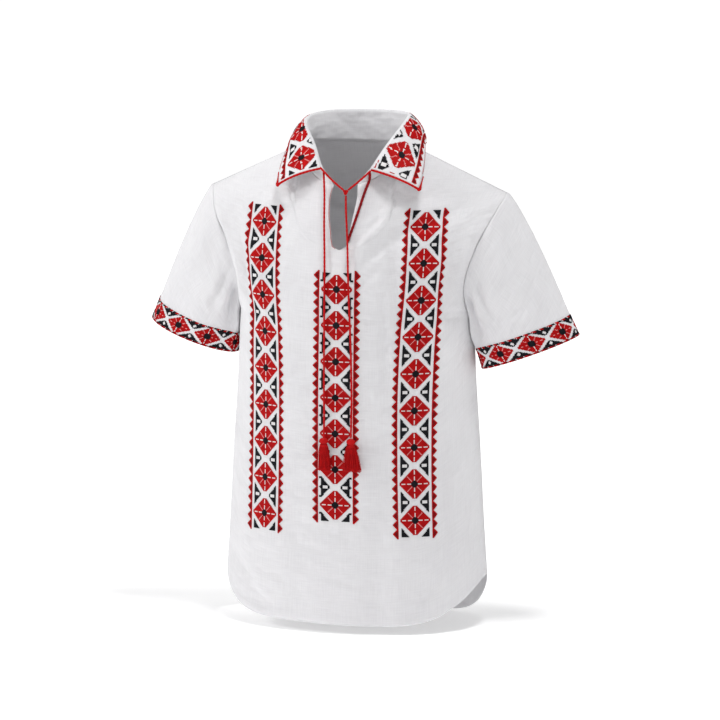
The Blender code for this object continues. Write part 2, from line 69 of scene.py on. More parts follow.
# Tables in millimetres. Torso: height, half width, front depth, back depth
torsoRows = np.array((
    (-720, 200, 123, 108), (-650, 198.5, 123.5, 107.5), (-560, 193, 124, 106.5), (-450, 187, 124, 106),
    (-350, 180.5, 122.5, 108), (-250, 176, 117, 112),
)) / 1000
# Armhole from the armpit up: share, half width, front y, back y, height
armholeRows = np.array((
    (0, 176, 0, 0, -250), (0.12, 172, -25, 30, -235), (0.28, 171.2, -38, 52, -208),
    (0.42, 175.5, -41.5, 62, -184.7), (0.6, 186.5, -40, 64, -152.8), (0.72, 194, -37, 59, -134.5),
    (0.85, 207, -31, 47, -109.5), (0.94, 216.5, -13, 33, -89), (1, 224, 14, 14, -69),
)) / (1, 1000, 1000, 1000, 1000)
# Slit from its bottom up: share, wearer's right edge, wearer's left edge
slitRows = np.array((
    (0, 3, 3), (0.03, -5, 9.5), (0.1, -9, 14), (0.25, -11.5, 16.5), (0.5, -15.5, 20.5),
    (0.75, -16, 23.5), (1, -13, 22.5),
)) / (1, 1000, 1000)
# Middle of a side band: height, x
sideBandRows = np.array((
    (-575, 115.5), (-450, 113), (-350, 113), (-270, 116), (-200, 121), (-98, 122),
)) / 1000
body = {
    "armpitZ": -0.250, "neckHalf": 0.075, "shoulderHalf": 0.224, "shoulderDrop": 0.069, "shoulderY": 0.008,
    "shoulderYOut": 0.006, "neckFrontDeep": 0.092, "neckFrontDrop": 0.055, "neckBackDeep": 0.066,
    "neckBackDrop": 0.006, "ventZ": -0.638, "hemFront": (-0.6975, -0.7015), "hemFrontPower": (7.0, 5.0),
    "hemBack": -0.712, "hemBackPower": 8.0, "slitBottom": 0.48,
    "hemAllowance": 0.012, "hemStep": 0.0007, "hemRaise": 0.0003, "hemEdge": 0.0015,
    "archFront": (50, 36), "archBack": (68, 18), "upperRound": (0.18, 0.12, 0.10), "clothThick": 0.0009,
}
# Large folds of a panel: x, height, lean in degrees, half length, half width, how far out
foldRows = {
    "front": (
        (72, -290, 2, 80, 7, -3), (169, -420, 0, 150, 9, -3.4), (178, -330, 4, 80, 8, -2.6),
        (-164, -235, -6, 60, 9, -3.4), (-176, -420, 2, 110, 10, -2.2), (52, -122, -44, 46, 8, 4.4),
        (64, -143, -50, 52, 8, -4.2), (120, -110, -62, 60, 11, -3.4), (157, -205, -8, 75, 11, -9.5),
        (142, -170, -24, 60, 8, 4.4), (126, -200, -30, 50, 8, -3.4), (88, -235, 4, 110, 9, -4.5),
        (-156, -190, 14, 65, 9, -8.5), (-142, -150, 30, 45, 8, 3.4), (-60, -600, 3, 120, 22, -4),
        (64, -620, -3, 130, 20, -4.2), (154, -540, 3, 130, 12, -8), (168, -500, 2, 130, 7, 3),
        (-150, -640, 38, 50, 12, -4), (150, -640, -40, 48, 12, -4),
    ),
    "back": (
        (0, -330, 0, 230, 22, -4.5), (-90, -420, 4, 190, 18, -4), (98, -390, -3, 170, 16, -4),
        (-145, -200, -14, 90, 12, -4), (150, -215, 12, 80, 12, -3.6), (45, -600, -4, 110, 22, -3.2),
    ),
}
# Small creases, in the same columns
creaseRows = {
    "front": (
        (-48, -225, 84, 16, 3.5, -1.5), (-50, -262, 78, 18, 4, -1.7), (-47, -305, 96, 15, 3.5, -1.4),
        (-49, -352, 82, 17, 4, -1.5), (-46, -405, 92, 14, 3.5, -1.4), (52, -238, 88, 15, 3.5, -1.5),
        (55, -331, 99, 17, 4, -1.5), (53, -384, 84, 14, 3.5, -1.4), (34, -160, -30, 30, 5, 2.4),
        (20, -165, -8, 24, 4, -2), (-14, -166, 10, 22, 4, -1.9), (-85, -68, 50, 40, 8, 2),
        (160, -170, -24, 45, 6, -3.1), (158, -225, -14, 40, 5, 2.7), (-158, -190, 20, 36, 6, 2.4),
        (170, -540, -6, 60, 7, -3.4), (-172, -560, 8, 50, 7, -2.7), (128, -655, -58, 22, 5, 2),
        (-120, -660, 62, 26, 5, 2.2), (10, -640, 74, 60, 7, -1.5), (-80, -625, 82, 50, 6, 1.4),
        (90, -600, 100, 40, 6, 1.4), (-50, -450, 86, 18, 4, -1.6), (-52, -505, 95, 16, 3.8, 1.4),
        (-66, -283, 60, 20, 4, 1.4), (-64, -330, 118, 22, 4.5, -1.6), (-62, -385, 70, 20, 4, 1.4),
        (54, -287, 100, 18, 4, 1.4), (56, -440, 82, 18, 4.2, -1.6), (66, -355, 62, 22, 4.5, -1.6),
        (70, -412, 112, 20, 4.2, 1.4), (68, -485, 96, 24, 4.8, -1.6), (40, -195, -40, 30, 5, -2),
        (-85, -100, 30, 36, 6, -1.8), (75, -90, -70, 34, 6, 2), (-30, -590, 88, 40, 6, -1.6),
        (60, -665, 80, 40, 6, 1.4), (-120, -600, 96, 30, 6, -1.4),
    ),
    "back": (
        (-40, -120, 66, 70, 8, 2.4), (55, -150, -60, 60, 7, 2.4), (20, -250, 30, 60, 6, 2),
        (-130, -560, 24, 60, 7, -2.7), (135, -600, -30, 50, 7, -2.7), (0, -660, 84, 70, 7, 1.7),
        (-60, -480, 60, 50, 6, 1.7),
    ),
}
# Sleeve folds: degrees from the outer edge, share of the length, half width, half length, how far out
sleeveFoldRows = (
    (62, 0.35, 16, 0.45, -3.5), (118, 0.55, 13, 0.38, -3.5), (30, 0.8, 15, 0.16, 2),
    (250, 0.45, 15, 0.4, -4), (305, 0.6, 14, 0.34, -3), (98, 0.24, 7, 0.26, -6), (114, 0.3, 8, 0.3, 7),
    (125, 0.14, 34, 0.14, -12), (136, 0.2, 11, 0.28, -20), (158, 0.34, 9, 0.3, 6),
    (228, 0.22, 9, 0.24, -7),
)
sleeveCreaseRows = (
    (90, 0.3, 7, 0.22, 1.6), (75, 0.62, 26, 0.035, -1.1), (48, 0.7, 20, 0.03, 0.9),
    (140, 0.4, 8, 0.24, -1.6), (15, 0.25, 9, 0.14, -1.2), (230, 0.6, 9, 0.2, 1.4),
    (275, 0.3, 8, 0.22, -1.4), (330, 0.72, 22, 0.035, 1),
)
cuffEnds = {
    1: ((0.3300, 0.026, -0.2785), (0.1880, 0.014, -0.3300)),
    -1: ((-0.3235, 0.026, -0.2735), (-0.1865, 0.014, -0.3200)),
}
sleeve = {
    "cuffDepth": 0.050, "cuffFrontDrop": 0.0030, "cap": 0.0090, "swell": 0.006, "cuffBand": 0.034,
    "centre": (0.198, 0.012, -0.155),
}
# Collar fold and free edge, from the wearer's right front corner round the back
collarFoldRows = np.array((
    (0, -34, -76, -30), (0.12, -53, -42, 0), (0.24, -76.5, -6, 32), (0.36, -64, 48, 40),
    (0.5, 0, 80, 41), (0.64, 64, 48, 41.5), (0.76, 76.5, -6, 36.5), (0.88, 56, -42, 2),
    (1, 41, -74, -30),
)) / (1, 1000, 1000, 1000)
collarEdgeRows = np.array((
    (0, -99, -76, -56), (0.12, -104, -42, -31), (0.24, -100, 6, -3), (0.36, -82, 70, -6),
    (0.5, 0, 104, -10), (0.64, 82, 70, -6), (0.76, 102, 6, -3), (0.88, 112, -42, -31),
    (1, 113, -76, -56),
)) / (1, 1000, 1000, 1000)


def unit(vectors):
    return vectors / np.maximum(np.linalg.norm(vectors, axis=-1, keepdims=True), 1e-12)


def smoothTable(rows, at):
    knots, values = rows[:, 0], rows[:, 1:]
    slopes = np.gradient(values, knots, axis=0)
    at = np.clip(np.asarray(at, float), knots[0], knots[-1])
    i = np.clip(np.searchsorted(knots, at, side="right") - 1, 0, len(knots) - 2)
    step = (knots[i + 1] - knots[i])[..., None]
    t = (at - knots[i])[..., None] / step
    return (
        (1 + 2 * t) * (1 - t) ** 2 * values[i]
        + t * (1 - t) ** 2 * step * slopes[i]
        + t * t * (3 - 2 * t) * values[i + 1]
        + t * t * (t - 1) * step * slopes[i + 1]
    )


def bumpSum(rows, side, x, z):
    total = np.zeros(np.broadcast(x, z).shape)
    for fx, fz, lean, length, width, height in rows["front" if side < 0 else "back"]:
        c, s = math.cos(math.radians(lean)), math.sin(math.radians(lean))
        dx, dz = x * 1000 - fx, z * 1000 - fz
        along, across = (dz * c - dx * s) / length, (dx * c + dz * s) / width
        total += height / 1000 * np.exp(-(along**2) - across**2)
    return total


def hemHeight(side, share):
    if side > 0:
        low, power = body["hemBack"], body["hemBackPower"]
    else:
        turn = 0.5 + 0.5 * np.sin(math.pi / 2 * share)
        low, power = (a + (b - a) * turn for a, b in (body["hemFront"], body["hemFrontPower"]))
    return low + (body["ventZ"] - low) * np.abs(share) ** power


def topEdge(side, x):
    out = np.clip((np.abs(x) - body["neckHalf"]) / (body["shoulderHalf"] - body["neckHalf"]), 0, 2)
    roundIn = np.sqrt(np.clip(1 - (x / body["neckHalf"]) ** 2, 0, 1))
    inNeck = np.abs(x) < body["neckHalf"]
    deep = -body["neckFrontDeep"] if side < 0 else body["neckBackDeep"]
    drop = body["neckFrontDrop"] if side < 0 else body["neckBackDrop"]
    y = body["shoulderY"] + np.where(inNeck, deep * roundIn, body["shoulderYOut"] * out)
    z = np.where(inNeck, -drop * roundIn, -body["shoulderDrop"] * out)
    return y, z


def arch(side, x, w):
    chest = smoothTable(torsoRows, body["armpitZ"])
    depth = chest[1] if side < 0 else chest[2]
    startX = np.minimum(np.abs(x) * chest[0] / smoothTable(armholeRows, w)[..., 0], chest[0])
    y0 = side * depth * np.sqrt(np.clip(1 - (startX / chest[0]) ** 2, 0, 1))
    y1, z1 = topEdge(side, x)
    reach = np.minimum(np.abs(x) / body["neckHalf"], 1.0)
    least, more = body["archFront"] if side < 0 else body["archBack"]
    most = np.radians(least + more * reach**3)
    turn = w * most
    y = y0 + (y1 - y0) * (1 - np.cos(turn)) / (1 - np.cos(most))
    z = body["armpitZ"] + (z1 - body["armpitZ"]) * np.sin(turn) / np.sin(most)
    return y, z


def panelPoint(side, share, w, slit=0, fine=True):
    share, w, slit = np.broadcast_arrays(*(np.asarray(a, float) for a in (share, w, slit)))
    low = hemHeight(side, share)
    zLow = body["armpitZ"] + (low - body["armpitZ"]) * -np.minimum(w, 0)
    rows = smoothTable(torsoRows, zLow)
    half, depth = rows[..., 0], rows[..., 1] if side < 0 else rows[..., 2]
    around = np.sqrt(np.clip(1 - share**2, 0, 1))
    lower = np.stack((half * share, side * depth * around, zLow), -1)
    lowerOut = np.stack((share / half, side * around / depth, 0 * share), -1)
    wUp = np.maximum(w, 0)
    edge = smoothTable(armholeRows, wUp)
    mouth = smoothTable(slitRows, (wUp - body["slitBottom"]) / (1 - body["slitBottom"]))
    lip = np.where(slit < 0, mouth[..., 0], mouth[..., 1])
    x = np.where(slit == 0, edge[..., 0] * share, lip + (slit * edge[..., 0] - lip) * np.abs(share))
    y, z = arch(side, x, wUp)
    yEdge, zEdge = arch(side, edge[..., 0], wUp)
    pull = np.minimum(np.abs(x) / edge[..., 0], 1.0) ** 5
    y = y + pull * ((edge[..., 1] if side < 0 else edge[..., 2]) - yEdge)
    z = z + pull * (edge[..., 3] - zEdge)
    upper = np.stack((x, y, z), -1)
    wide, deep, tall = body["upperRound"]
    upperOut = np.stack((x / wide**2, y / deep**2, wUp / tall), -1)
    isLow = (w <= 0)[..., None]
    point, out = np.where(isLow, lower, upper), np.where(isLow, lowerOut, upperOut)
    height = bumpSum(foldRows, side, point[..., 0], point[..., 2])
    fade = (1 - np.minimum(np.abs(share), 1.0) ** 12) * (1 - wUp**6)
    if fine:
        height = height + bumpSum(creaseRows, side, point[..., 0], point[..., 2])
        step = np.clip((point[..., 2] - low - body["hemAllowance"]) / body["hemEdge"], 0, 1)
        height = height + np.where(w <= 0, body["hemRaise"] - body["hemStep"] * step, 0.0)
    return point + unit(out) * (height * fade)[..., None]


def frontAt(x, z):
    x, z = np.broadcast_arrays(np.asarray(x, float), np.asarray(z, float))
    low, high = np.full(x.shape, -1.0), np.full(x.shape, 1.0)
    for _ in range(26):
        w = (low + high) / 2
        half = np.where(w > 0, smoothTable(armholeRows, w)[..., 0], smoothTable(torsoRows, z)[..., 0])
        share = np.clip(x / half, -1, 1)
        below = panelPoint(-1, share, w, fine=False)[..., 2] < z
        low, high = np.where(below, w, low), np.where(below, high, w)
    return share, w


def surfaceNormal(pointOf, a, b, step=0.003):
    da = pointOf(a + step, b) - pointOf(a - step, b)
    db = pointOf(a, b + step) - pointOf(a, b - step)
    return unit(np.cross(da, db))


def onFront(x, z, lift=0.0):
    share, w = frontAt(x, z)
    pointOf = partial(panelPoint, -1)
    return pointOf(share, w) + surfaceNormal(pointOf, share, w) * np.asarray(lift)[..., None]


def armholeLoop(side, turn):
    row = smoothTable(armholeRows, np.abs(1 - 2 * turn))
    return np.stack((side * row[..., 0], np.where(turn <= 0.5, row[..., 1], row[..., 2]), row[..., 3]), -1)


def sleevePoint(side, turn, along):
    turn, along = np.broadcast_arrays(np.asarray(turn, float) % 1.0, np.asarray(along, float))
    outer, inner = (np.array(p) for p in cuffEnds[side])
    middle, reach = (outer + inner) / 2, (outer - inner) / 2
    angle = (2 * math.pi * turn)[..., None]
    front = np.array((0.0, -sleeve["cuffDepth"], -sleeve["cuffFrontDrop"]))
    start, end = armholeLoop(side, turn), middle + reach * np.cos(angle) + front * np.sin(angle)
    point = start + (end - start) * along[..., None]
    centre = np.array(sleeve["centre"]) * (side, 1, 1)
    centre = centre * (1 - along[..., None]) + middle * along[..., None]
    away = unit(point - centre)
    inside = np.clip(along, 0, 1)
    cap = sleeve["cap"] * np.sin(math.pi * inside**0.55) * np.maximum(0.0, np.cos(2 * math.pi * turn)) ** 1.5
    swell = sleeve["swell"] * np.sin(math.pi * inside) * (1 - np.cos(4 * math.pi * turn)) / 2
    fold = np.zeros(turn.shape)
    for degrees, share, width, length, height in sleeveFoldRows + sleeveCreaseRows:
        apart = (degrees / 360 - turn + 0.5) % 1 - 0.5
        fold += height / 1000 * np.exp(-((apart * 360 / width) ** 2) - ((along - share) / length) ** 2)
    fold = fold * np.sin(math.pi * np.minimum(inside * 1.6, 1.0) * 0.5) * (1 - inside**6)
    return point + away * (cap + swell + fold)[..., None]


def neckSeam(turn):
    left, right = slitRows[-1, 1], slitRows[-1, 2]
    start, end = math.asin(-left / body["neckHalf"]), math.asin(right / body["neckHalf"])
    angle = -math.pi / 2 - start + (-2 * math.pi + start + end) * np.asarray(turn, float)
    roundIn = np.abs(np.sin(angle))
    front = np.sin(angle) < 0
    y = body["shoulderY"] + np.where(front, -body["neckFrontDeep"], body["neckBackDeep"]) * roundIn
    z = -np.where(front, body["neckFrontDrop"], body["neckBackDrop"]) * roundIn
    return np.stack((body["neckHalf"] * np.cos(angle), y, z), -1)


collar = {
    "bulge": 0.006, "rise": 0.05, "leafThick": 0.0016, "standThick": 0.0011,
    "standShrink": 0.992, "standGap": 0.0004, "seamDrop": 0.0006, "squeeze": 0.03,
}


def collarPoint(turn, down):
    turn, down = np.broadcast_arrays(np.asarray(turn, float), np.asarray(down, float))
    fold, edge = smoothTable(collarFoldRows, turn), smoothTable(collarEdgeRows, turn)
    point = fold + (edge - fold) * down[..., None]
    bulge = collar["bulge"] * np.sin(math.pi * np.clip(down, 0, 1)) ** 0.8
    away = np.stack((point[..., 0], point[..., 1], 0 * down + collar["rise"]), -1)
    return point + unit(away) * bulge[..., None]


def standPoint(turn, up):
    turn, up = np.broadcast_arrays(np.asarray(turn, float), np.asarray(up, float))
    shrink = np.array((collar["standShrink"], collar["standShrink"], 1.0))
    low = neckSeam(turn) - (0.0, 0.0, collar["seamDrop"])
    high = smoothTable(collarFoldRows, turn) * shrink - (0.0, 0.0, collar["standGap"])
    point = low + (high - low) * up[..., None]
    point[..., 0] *= 1 - collar["squeeze"] * np.sin(math.pi * up)
    return point


# Materials
linenLook = {
    "colour": (0.79, 0.785, 0.80), "shade": (0.69, 0.68, 0.70), "roughness": 0.88, "sheen": 0.18,
    "through": 0.35, "bump": 0.35, "bumpDepth": 0.0006, "threadPitch": 0.0009, "crumple": 42.0,
}
threadFinish = {
    "roughness": 0.7, "sheen": 0.0, "through": 0.0, "bump": 0.5, "bumpDepth": 0.0004,
    "stitchStrands": 2600.0, "cordStrands": 1800.0,
}
threadLooks = {
    "redThread": {"colour": (0.54, 0.003, 0.004), "shade": (0.35, 0.002, 0.003)},
    "blackThread": {"colour": (0.012, 0.012, 0.016), "shade": (0.004, 0.004, 0.006)},
    "whiteThread": {"colour": (0.84, 0.83, 0.83), "shade": (0.72, 0.69, 0.70)},
    "darkRedThread": {"colour": (0.24, 0.003, 0.005), "shade": (0.11, 0.002, 0.003)},
    "pinkThread": {"colour": (0.80, 0.36, 0.36), "shade": (0.66, 0.24, 0.25)},
}
cordLook = {"colour": (0.54, 0.005, 0.006), "shade": (0.36, 0.002, 0.004), "roughness": 0.65}
darkCordLook = {"colour": (0.30, 0.004, 0.008), "shade": (0.12, 0.003, 0.005)}


def newGroup(name, place, amounts):
    group = bpy.data.node_groups.new(name, "ShaderNodeTree")
    group.interface.new_socket(name=place, in_out="INPUT", socket_type="NodeSocketVector")
    for title, value in amounts.items():
        socket = group.interface.new_socket(name=title, in_out="INPUT", socket_type="NodeSocketFloat")
        socket.default_value = value
    for title in ("Height", "Tone"):
        group.interface.new_socket(name=title, in_out="OUTPUT", socket_type="NodeSocketFloat")
    nodes = group.nodes
    return group, nodes, group.links, nodes.new("NodeGroupInput"), nodes.new("NodeGroupOutput")


def mathNode(nodes, links, operation, first, second):
    node = nodes.new("ShaderNodeMath")
    node.operation = operation
    for socket, value in zip(node.inputs, (first, second)):
        if isinstance(value, (int, float)):
            socket.default_value = value
        else:
            links.new(value, socket)
    return node.outputs[0]


def stretchedNoise(nodes, links, vector, scale, detail):
    mapping = nodes.new("ShaderNodeMapping")
    mapping.inputs["Scale"].default_value = scale
    links.new(vector, mapping.inputs["Vector"])
    noise = nodes.new("ShaderNodeTexNoise")
    noise.inputs["Scale"].default_value = 1.0
    noise.inputs["Detail"].default_value = detail
    links.new(mapping.outputs[0], noise.inputs["Vector"])
    return noise.outputs["Fac"]


def makeWeaveGroup():
    amounts = {"Threads Per Metre": 1100.0, "Slub Amount": 0.6, "Crumple Amount": 8.0}
    group, nodes, links, start, end = newGroup("linenWeave", "Cloth", amounts)
    cloth, maths = start.outputs["Cloth"], partial(mathNode, nodes, links)
    warp = stretchedNoise(nodes, links, cloth, (900.0, 28.0, 1.0), 2.0)
    weft = stretchedNoise(nodes, links, cloth, (28.0, 900.0, 1.0), 2.0)
    crumple = stretchedNoise(nodes, links, cloth, (19.0, 31.0, 1.0), 2.0)
    blotch = stretchedNoise(nodes, links, cloth, (9.0, 9.0, 1.0), 3.0)
    slubs = maths("ADD", warp, weft)
    parts = nodes.new("ShaderNodeSeparateXYZ")
    links.new(cloth, parts.inputs[0])
    waves = []
    for axis in (0, 1):
        turns = maths("MULTIPLY", parts.outputs[axis], start.outputs["Threads Per Metre"])
        waves.append(maths("SINE", maths("MULTIPLY", turns, 2 * math.pi), 0.0))
    small = maths("MULTIPLY", maths("MULTIPLY", waves[0], waves[1]), 0.25)
    fine = maths("ADD", small, maths("MULTIPLY", slubs, start.outputs["Slub Amount"]))
    crumpled = maths("MULTIPLY", crumple, start.outputs["Crumple Amount"])
    links.new(maths("ADD", fine, crumpled), end.inputs["Height"])
    links.new(maths("MULTIPLY", maths("ADD", slubs, blotch), 0.3333), end.inputs["Tone"])
    return group


def makeThreadGroup():
    amounts = {"Strands Per Metre": 2600.0}
    group, nodes, links, start, end = newGroup("threadStrands", "Place", amounts)
    fine = nodes.new("ShaderNodeTexNoise")
    fine.inputs["Detail"].default_value = 3.0
    links.new(start.outputs["Place"], fine.inputs["Vector"])
    links.new(start.outputs["Strands Per Metre"], fine.inputs["Scale"])
    broad = stretchedNoise(nodes, links, start.outputs["Place"], (140.0, 140.0, 140.0), 2.0)
    links.new(fine.outputs["Fac"], end.inputs["Height"])
    both = mathNode(nodes, links, "ADD", fine.outputs["Fac"], broad)
    links.new(mathNode(nodes, links, "MULTIPLY", both, 0.5), end.inputs["Tone"])
    return group


def clothMaterial(name, look, group, source, settings):
    material = bpy.data.materials.new(name)
    material.use_nodes = True
    nodes, links = material.node_tree.nodes, material.node_tree.links
    shader = nodes["Principled BSDF"]
    values = {
        "Roughness": look["roughness"], "Sheen Weight": look["sheen"], "Sheen Roughness": 0.5,
        "Specular IOR Level": 0.12, "Subsurface Weight": look["through"],
        "Subsurface Radius": (0.003, 0.003, 0.003), "Subsurface Scale": 1.0,
    }
    for socket, value in values.items():
        shader.inputs[socket].default_value = value
    made = nodes.new("ShaderNodeGroup")
    made.node_tree = group
    for socket, value in settings.items():
        made.inputs[socket].default_value = value
    where = nodes.new("ShaderNodeTexCoord")
    links.new(where.outputs[source], made.inputs[0])
    ramp = nodes.new("ShaderNodeMapRange")
    ramp.inputs["From Min"].default_value = 0.35
    ramp.inputs["From Max"].default_value = 0.65
    links.new(made.outputs["Tone"], ramp.inputs["Value"])
    mix = nodes.new("ShaderNodeMix")
    mix.data_type = "RGBA"
    mix.inputs["A"].default_value = (*look["shade"], 1.0)
    mix.inputs["B"].default_value = (*look["colour"], 1.0)
    links.new(ramp.outputs["Result"], mix.inputs["Factor"])
    links.new(mix.outputs["Result"], shader.inputs["Base Color"])
    relief = nodes.new("ShaderNodeBump")
    relief.inputs["Strength"].default_value = look["bump"]
    relief.inputs["Distance"].default_value = look["bumpDepth"]
    links.new(made.outputs["Height"], relief.inputs["Height"])
    links.new(relief.outputs["Normal"], shader.inputs["Normal"])
    return material


weave, strands = makeWeaveGroup(), makeThreadGroup()
clothSettings = {"Threads Per Metre": 1 / linenLook["threadPitch"], "Crumple Amount": linenLook["crumple"]}
linen = clothMaterial("linen", linenLook, weave, "UV", clothSettings)


def threadMaterial(name, look, count):
    settings = {"Strands Per Metre": threadFinish[count]}
    return clothMaterial(name, {**threadFinish, **look}, strands, "Object", settings)


stitchMaterials = [threadMaterial(name, look, "stitchStrands") for name, look in threadLooks.items()]
cordRed = threadMaterial("cordRed", cordLook, "cordStrands")
cordDark = threadMaterial("cordDark", darkCordLook, "cordStrands")
print("materials made")


# Mesh helpers
def addPiece(name, points, faces, materials, indices=None, uv=None):
    mesh = bpy.data.meshes.new(name)
    corners = faces if isinstance(faces, list) else faces.tolist()
    mesh.from_pydata(np.asarray(points, float).reshape(-1, 3).tolist(), [], corners)
    for material in materials:
        mesh.materials.append(material)
    if indices is not None:
        mesh.polygons.foreach_set("material_index", np.asarray(indices, np.int32))
    if uv is not None:
        layer = mesh.uv_layers.new(name="cloth")
        corner = np.empty(len(mesh.loops), np.int32)
        mesh.loops.foreach_get("vertex_index", corner)
        layer.data.foreach_set("uv", np.asarray(uv, float).reshape(-1, 2)[corner].ravel())
    mesh.update()
    mesh.shade_smooth()
    obj = bpy.data.objects.new(name, mesh)
    bpy.context.scene.collection.objects.link(obj)
    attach(obj, "root")
    return obj


def gridQuads(rows, columns, wrap=False, flip=False):
    r, c = np.meshgrid(np.arange(rows - 1), np.arange(columns if wrap else columns - 1), indexing="ij")
    d = (c + 1) % columns
    corners = (r * columns + c, r * columns + d, (r + 1) * columns + d, (r + 1) * columns + c)
    quads = np.stack(corners, -1).reshape(-1, 4)
    return quads[:, ::-1] if flip else quads


def clothUv(grid, middle=None):
    middle = grid.shape[1] // 2 if middle is None else middle
    stepAcross = np.linalg.norm(np.diff(grid, axis=1), axis=-1)
    stepAlong = np.linalg.norm(np.diff(grid, axis=0), axis=-1)
    across = np.pad(np.cumsum(stepAcross, axis=1), ((0, 0), (1, 0)))
    along = np.pad(np.cumsum(stepAlong, axis=0), ((1, 0), (0, 0)))
    return np.stack((across - across[:, middle, None], along), -1)


def runLength(line):
    return np.concatenate(([0.0], np.cumsum(np.linalg.norm(np.diff(line, axis=0), axis=-1))))


# Cloth panels
panelCells = {"columns": 132, "lower": 96, "below": 22, "above": 46}


def makeFront():
    columns, middle = panelCells["columns"], panelCells["columns"] // 2
    slitBottom = body["slitBottom"]
    shares = np.sin(math.pi / 2 * np.linspace(-1, 1, columns + 1))
    low = np.linspace(-1, 0, panelCells["lower"], endpoint=False)
    below = np.linspace(0, slitBottom, panelCells["below"], endpoint=False)
    above = slitBottom + (1 - slitBottom) * np.linspace(0, 1, panelCells["above"] + 1) ** 1.5
    heights = np.concatenate((low, below, above))
    joined = len(low) + len(below) + 1  # rows where the two halves share their middle column
    grids, uvs, ids = [], [], []
    for half, picked, inner in ((-1, shares[: middle + 1], middle), (1, shares[middle:], 0)):
        slit = np.where(heights > slitBottom + 1e-6, half, 0)
        grids.append(panelPoint(-1, picked[None, :], heights[:, None], slit[:, None]))
        uvs.append(clothUv(grids[-1], inner).reshape(-1, 2))
        ids.append(np.arange(len(uvs[-1])).reshape(len(heights), -1))
    ids[1] += ids[0].size
    ids[1][:joined, 0] = ids[0][:joined, middle]
    quads = [np.stack((i[:-1, :-1], i[:-1, 1:], i[1:, 1:], i[1:, :-1]), -1).reshape(-1, 4) for i in ids]
    used, faces = np.unique(np.concatenate(quads), return_inverse=True)
    points = np.concatenate([grid.reshape(-1, 3) for grid in grids])[used]
    return addPiece("frontPanel", points, faces.reshape(-1, 4), [linen], uv=np.concatenate(uvs)[used])


def makeBack():
    shares = np.sin(math.pi / 2 * np.linspace(-1, 1, 113))
    heights = np.concatenate((np.linspace(-1, 0, 90, endpoint=False), np.linspace(0, 1, 50)))
    grid = panelPoint(1, shares[None, :], heights[:, None])
    return addPiece("backPanel", grid, gridQuads(*grid.shape[:2], flip=True), [linen], uv=clothUv(grid))


def makeSleeve(side, name):
    turns = np.arange(120) / 120
    alongs = np.concatenate((np.linspace(0.0, 0.84, 60), np.linspace(0.845, 1.0, 12)))
    grid = sleevePoint(side, turns[None, :], alongs[:, None])
    faces = gridQuads(*grid.shape[:2], wrap=True, flip=side < 0)
    return addPiece(name, grid, faces, [linen], uv=clothUv(grid))


def makeCollar():
    turns, downs = np.linspace(0, 1, 181), np.linspace(0, 1, 19)
    grid = collarPoint(turns[None, :], downs[:, None])
    leaf = addPiece("collarLeaf", grid, gridQuads(*grid.shape[:2]), [linen], uv=clothUv(grid))
    grid = standPoint(turns[None, :], np.linspace(0, 1, 11)[:, None])
    stand = addPiece("collarStand", grid, gridQuads(*grid.shape[:2], flip=True), [linen], uv=clothUv(grid))
    return leaf, stand


def declareCloth(obj, node, thickness):
    solid = obj.modifiers.new("thickness", "SOLIDIFY")
    solid.thickness = thickness
    solid.offset = -1.0
    solid.use_rim = True
    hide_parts(node)
    print(obj.name, "cloth area", round(sum(face.area for face in obj.data.polygons), 4), "m2")


declareCloth(makeFront(), "front", body["clothThick"])
declareCloth(makeBack(), "back", body["clothThick"])
for side, name, node in ((1, "sleeveLeft", "sleeve_left"), (-1, "sleeveRight", "sleeve_right")):
    declareCloth(makeSleeve(side, name), node, body["clothThick"])
leaf, stand = makeCollar()
declareCloth(leaf, "collar", collar["leafThick"])
declareCloth(stand, "collar_stand", collar["standThick"])
print("cloth made")


# Embroidery: cells of cross-stitch, coded 1 red, 2 black, 3 white, 4 dark red, 5 pink, 0 bare
stitch = {"cell": 0.0015, "centre": 0.0010, "corner": 0.0006, "side": 0.00035, "tuck": 0.00018}
band = {
    "half": 24, "repeat": 36, "spread": 0.87, "sideTop": -0.087, "sideBottom": -0.570,
    "centreTop": -0.176, "centreBottom": -0.548,
}


def bandCode(u, v, dots=True):
    pitch = band["repeat"] * 1.5
    au, av = np.abs(u), np.abs((v % pitch) - pitch / 2)
    gap = pitch / 2 - av
    code = np.zeros(au.shape, int)
    triangle = (au > 8.2) & (au < 21.2) & (gap < (au - 7.6) * 1.16)
    code[triangle] = 2
    code[triangle & (gap < 2.9) & (au > 11.5) & (au < 19.4)] = 3
    if dots:
        for spot in (0.0, 14.5):
            code[(au - 23.0) ** 2 + (gap - spot) ** 2 < 1.7**2] = 2
    inDiamond = (au + av < 25.0) & (au < 23.2) & (av < 22.0)
    code[inDiamond] = 1
    dash = (au < 0.8) & (((av > 5.5) & (av < 10.8)) | ((av > 13.8) & (av < 20.4)))
    dash |= (av < 0.8) & (((au > 5.5) & (au < 10.8)) | ((au > 14.5) & (au < 20.4)))
    code[inDiamond & (np.abs(au - av) < 0.8) & (au > 4.4) & (au < 11.8)] = 5
    code[inDiamond & dash] = 3
    code[(au < 4.7) & (av < 4.7) & (au + av < 7.4)] = 2
    tooth = 1 - np.abs(2 * ((v / 13.5) % 1.0) - 1)
    reach = au - 29.6
    strip = (au > 25.6) & (reach < 6.6 * tooth)
    code[strip] = 1
    code[strip & (reach > -1.6) & (reach < 6.6 * tooth - 3.2)] = 4
    return code


